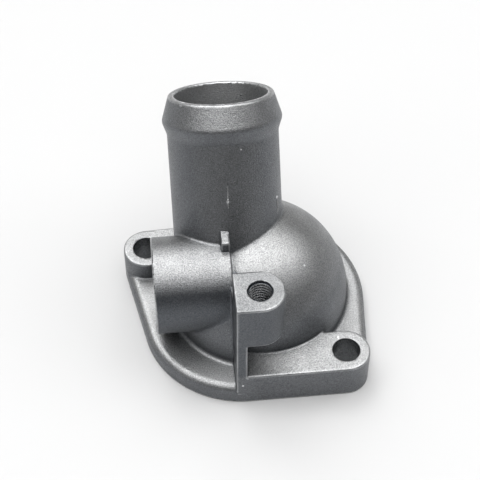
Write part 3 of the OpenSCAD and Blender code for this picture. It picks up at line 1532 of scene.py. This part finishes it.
@dataclass(frozen=True)
class DieLine(Relief):
    """Fine raised line that a joint of the die has left on the hose neck."""

    name: str
    top: float
    low: float
    turn_top: float
    turn_low: float
    width: float
    sink: float = 0.25
    rise: float = -0.02

    def build(
        self, neck: HoseNeck, tree: DieLineTree, finish: bpy.types.Material
    ) -> bpy.types.Object:
        """Lays the line on the neck and turns it into a plain mesh.

        Args:
            neck: The neck that carries the line.
            tree: Geometry nodes that lay a line.
            finish: Material of the line.

        Returns:
            The piece.
        """
        side = neck.outer_d / 2
        middle = (self.top + self.low) / 2, (self.turn_top + self.turn_low) / 2
        stops = {
            "Start": (self.top, self.turn_top, side - self.sink),
            "Middle": (*middle, side + self.rise),
            "End": (self.low, self.turn_low, side - self.sink),
        }
        values = {
            label: neck.place(neck.length - depth, turn, radius) * MM
            for label, (depth, turn, radius) in stops.items()
        }
        return baked(self.name, tree.tree, {**values, "Width": self.width * MM, "Finish": finish})


def baked(name: str, tree: bpy.types.NodeTree, values: Dict[str, Any]) -> bpy.types.Object:
    """Runs a tree of geometry nodes once and keeps the result as a plain mesh.

    Args:
        name: Name of the piece.
        tree: The geometry nodes.
        values: Value of each input by its name.

    Returns:
        The piece, with no modifier left on it.
    """
    piece = shown(name, bpy.data.meshes.new(name + "_base"))
    modifier = piece.modifiers.new(name, "NODES")
    modifier.node_group = tree
    for item in tree.interface.items_tree:
        if item.name in values:
            modifier[item.identifier] = values[item.name]
    graph = bpy.context.evaluated_depsgraph_get()
    mesh = bpy.data.meshes.new_from_object(piece.evaluated_get(graph), depsgraph=graph)
    piece.modifiers.clear()
    piece.data = mesh
    mesh.name = name
    LOG.info("%s: %d faces", name, len(mesh.polygons))
    return piece


# Floor, light and camera


@dataclass(frozen=True)
class Softbox:
    """Wide soft light in one direction; 0 degrees is behind the part, 90 on its right."""

    name: str
    azimuth: float
    elevation: float
    power: float
    width: float

    def hang(self) -> None:
        """Puts the light in the scene."""
        a, e = math.radians(self.azimuth), math.radians(self.elevation)
        way = Vector((math.sin(a) * math.cos(e), math.cos(a) * math.cos(e), math.sin(e)))
        lamp = bpy.data.lights.new(self.name, "SUN")
        lamp.energy = self.power
        lamp.angle = math.radians(self.width)
        shown(self.name, lamp).rotation_euler = way.to_track_quat("Z", "Y").to_euler()


@dataclass
class Studio:
    """Pale floor, soft light from above and all round, and the camera."""

    azimuth: float = -5.506
    elevation: float = 50.702
    distance: float = 476.47
    aim_right: float = -5.886
    aim_up: float = 22.53
    focal_px: float = 1368.0
    image_px: float = 480.0
    floor_size: float = 30.0
    floor_gap: float = 0.05
    floor_colour: Colour = (0.74, 0.74, 0.74, 1.0)
    floor_rough: float = 0.9
    floor_shine: float = 0.1
    near: float = 0.01
    far: float = 100.0
    world_level: float = 0.06
    boxes: Tuple[Softbox, ...] = (
        Softbox("overhead", 0.0, 86.0, 1.15, 62.0),
        Softbox("back", -4.0, 50.0, 0.68, 46.0),
        Softbox("back left", -48.0, 55.0, 0.86, 46.0),
        Softbox("left", -110.0, 54.0, 0.72, 56.0),
        Softbox("right", 84.0, 51.0, 0.88, 46.0),
        Softbox("front", 176.0, 61.0, 0.44, 48.0),
    )

    def build(self) -> None:
        """Sets up the floor, the light and the camera."""
        self.floor()
        self.light()
        self.camera()
        bpy.context.scene.view_settings.view_transform = "Standard"

    def floor(self) -> None:
        """Lays the floor under the gasket face."""
        half, low = self.floor_size / 2, -self.floor_gap * MM
        sides = ((-half, -half), (half, -half), (half, half), (-half, half))
        corners = [(x, y, low) for x, y in sides]
        mesh = bpy.data.meshes.new("floor")
        mesh.from_pydata(corners, [], [(0, 1, 2, 3)])
        floor = shown("floor", mesh)
        paper = bpy.data.materials.new("pale paper")
        paper.use_nodes = True
        inputs = paper.node_tree.nodes["Principled BSDF"].inputs
        inputs["Base Color"].default_value = self.floor_colour
        inputs["Roughness"].default_value = self.floor_rough
        inputs["Specular IOR Level"].default_value = self.floor_shine
        mesh.materials.append(paper)

    def light(self) -> None:
        """Hangs the soft lights and sets the level of the room."""
        for box in self.boxes:
            box.hang()
        world = bpy.data.worlds.new("room")
        world.use_nodes = True
        level = self.world_level
        world.node_tree.nodes["Background"].inputs[0].default_value = (level, level, level, 1.0)
        bpy.context.scene.world = world

    def camera(self) -> None:
        """Places the camera at the photograph's angle."""
        a, e = math.radians(self.azimuth), math.radians(self.elevation)
        back = Vector((math.sin(a) * math.cos(e), -math.cos(a) * math.cos(e), math.sin(e)))
        right = Vector((math.cos(a), math.sin(a), 0.0))
        up = back.cross(right)
        data = bpy.data.cameras.new("camera")
        data.lens = self.focal_px / self.image_px * data.sensor_width
        data.clip_start, data.clip_end = self.near, self.far
        camera = shown("camera", data)
        spot = (back * self.distance + right * self.aim_right + up * self.aim_up) * MM
        turn = Matrix((right, up, back)).transposed().to_4x4()
        camera.matrix_world = Matrix.Translation(spot) @ turn
        bpy.context.scene.camera = camera


def threads(casting: Casting) -> List[InnerThread]:
    """Lists the screw threads of the casting.

    Args:
        casting: The casting that they are cut in.

    Returns:
        The bracket's thread and the sensor's thread.
    """
    boss, stub = casting.boss, casting.stub
    bracket = InnerThread(
        "bracket_thread",
        major_d=boss.hole_d,
        tapping=boss.tapping,
        foot=(boss.x, boss.y, boss.top - boss.tapping.start - boss.tapping.run),
        turn=(0.0, 0.0, 0.0),
    )
    sensor = InnerThread(
        "sensor_thread",
        major_d=stub.port_d,
        tapping=stub.tapping,
        foot=(-stub.reach + stub.tapping.start + stub.tapping.run, stub.y, stub.z),
        turn=(0.0, -90.0, 0.0),
    )
    return [bracket, sensor]


def die_lines() -> List[DieLine]:
    """Lists the fine raised lines on the hose neck.

    Returns:
        The line at the front and the line on the right.
    """
    return [
        DieLine("die_line_front", top=25.0, low=34.4, turn_top=-1.4, turn_low=-2.1, width=0.34),
        DieLine("die_line_right", top=33.4, low=39.8, turn_top=61.0, turn_low=61.0, width=0.42),
    ]


def main() -> None:
    """Builds and dresses the housing, then lights it."""
    logging.basicConfig(level=logging.INFO, format="%(name)s: %(message)s")
    for effect in (BlastGrain(), RubbedEdgeAndPaintedLight(), NickMark()):
        effect.build()
    casting = Casting()
    piece = casting.build()
    casting.dress(piece)
    tree, finish = ThreadTree(), CutFinish().make()
    for thread in threads(casting):
        thread.dress(thread.build(tree, finish))
    line_tree, line_finish = DieLineTree(), piece.data.materials[0]
    for line in die_lines():
        line.dress(line.build(casting.neck, line_tree, line_finish))
    Studio().build()


if __name__ == "__main__":
    main()
